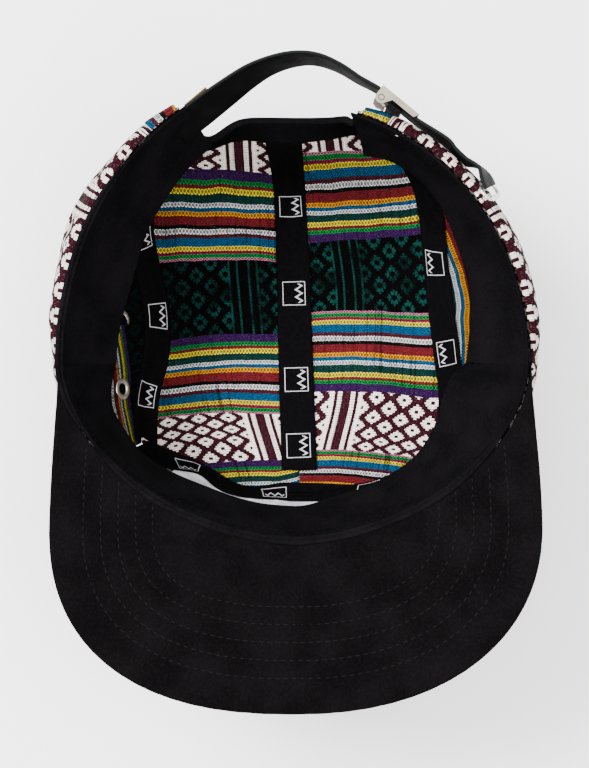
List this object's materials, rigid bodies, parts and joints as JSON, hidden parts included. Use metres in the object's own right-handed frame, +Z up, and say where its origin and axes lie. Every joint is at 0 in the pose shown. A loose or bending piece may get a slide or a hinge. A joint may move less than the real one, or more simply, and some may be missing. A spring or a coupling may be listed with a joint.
{
  "type": "five-panel cap",
  "caption": "Flat-brimmed camp cap of woven cloth, lying on its crown, with a taped inside, a sweatband and a leather strap with a clamp buckle across the cut-out at the back.",
  "frame": {"origin": "centre of the bounding box in plan, on the surface that the crown lies on", "axes": "+Z up, out of the cap's opening; +Y to the back of the cap, where the strap is; +X to the right in the picture"},
  "size_m": [0.1938, 0.253, 0.1257],
  "materials": {
    "woven_cloth": "handwoven cotton in bands of stripes and small lattice figures",
    "backing_cloth": "pale crumpled backing",
    "black_tape": "black cotton tape with small pale woven marks",
    "black_twill": "black cotton twill with stitch rows",
    "brim_cotton": "black cotton over a flat stiff board, with stitch rows",
    "black_leather": "black leather, satin, with painted edges",
    "brown_leather": "orange-brown leather",
    "buckle_metal": "satin nickel",
    "eyelet_metal": "plated eyelet metal"
  },
  "bodies": {
    "cap": {"front_panel": "woven_cloth", "top_panel_left": "woven_cloth", "top_panel_right": "woven_cloth", "side_panel_left": "woven_cloth", "side_panel_right": "woven_cloth", "front_backing": "backing_cloth", "center_tape": "black_tape", "side_tape_left": "black_tape", "side_tape_right": "black_tape", "front_tape": "black_tape", "arch_binding": "black_tape", "sweatband": "black_twill", "brim": "brim_cotton", "strap": "black_leather", "buckle_tab": "black_leather", "strap_tab": "brown_leather", "buckle_frame": "buckle_metal", "tuck_grommet": "eyelet_metal", "eyelet_left_front": "eyelet_metal", "eyelet_left_back": "eyelet_metal", "eyelet_right_front": "eyelet_metal", "eyelet_right_back": "eyelet_metal"},
    "buckle_lever": {"buckle_lever": "buckle_metal"}
  },
  "joints": [
    {"name": "lever_hinge", "type": "hinge", "parent": "cap", "child": "buckle_lever", "pos_m": [0.03302, 0.11, 0.11207], "axis": [0, -0.2079, 0.9781], "range_deg": [0, 75]}
  ]
}
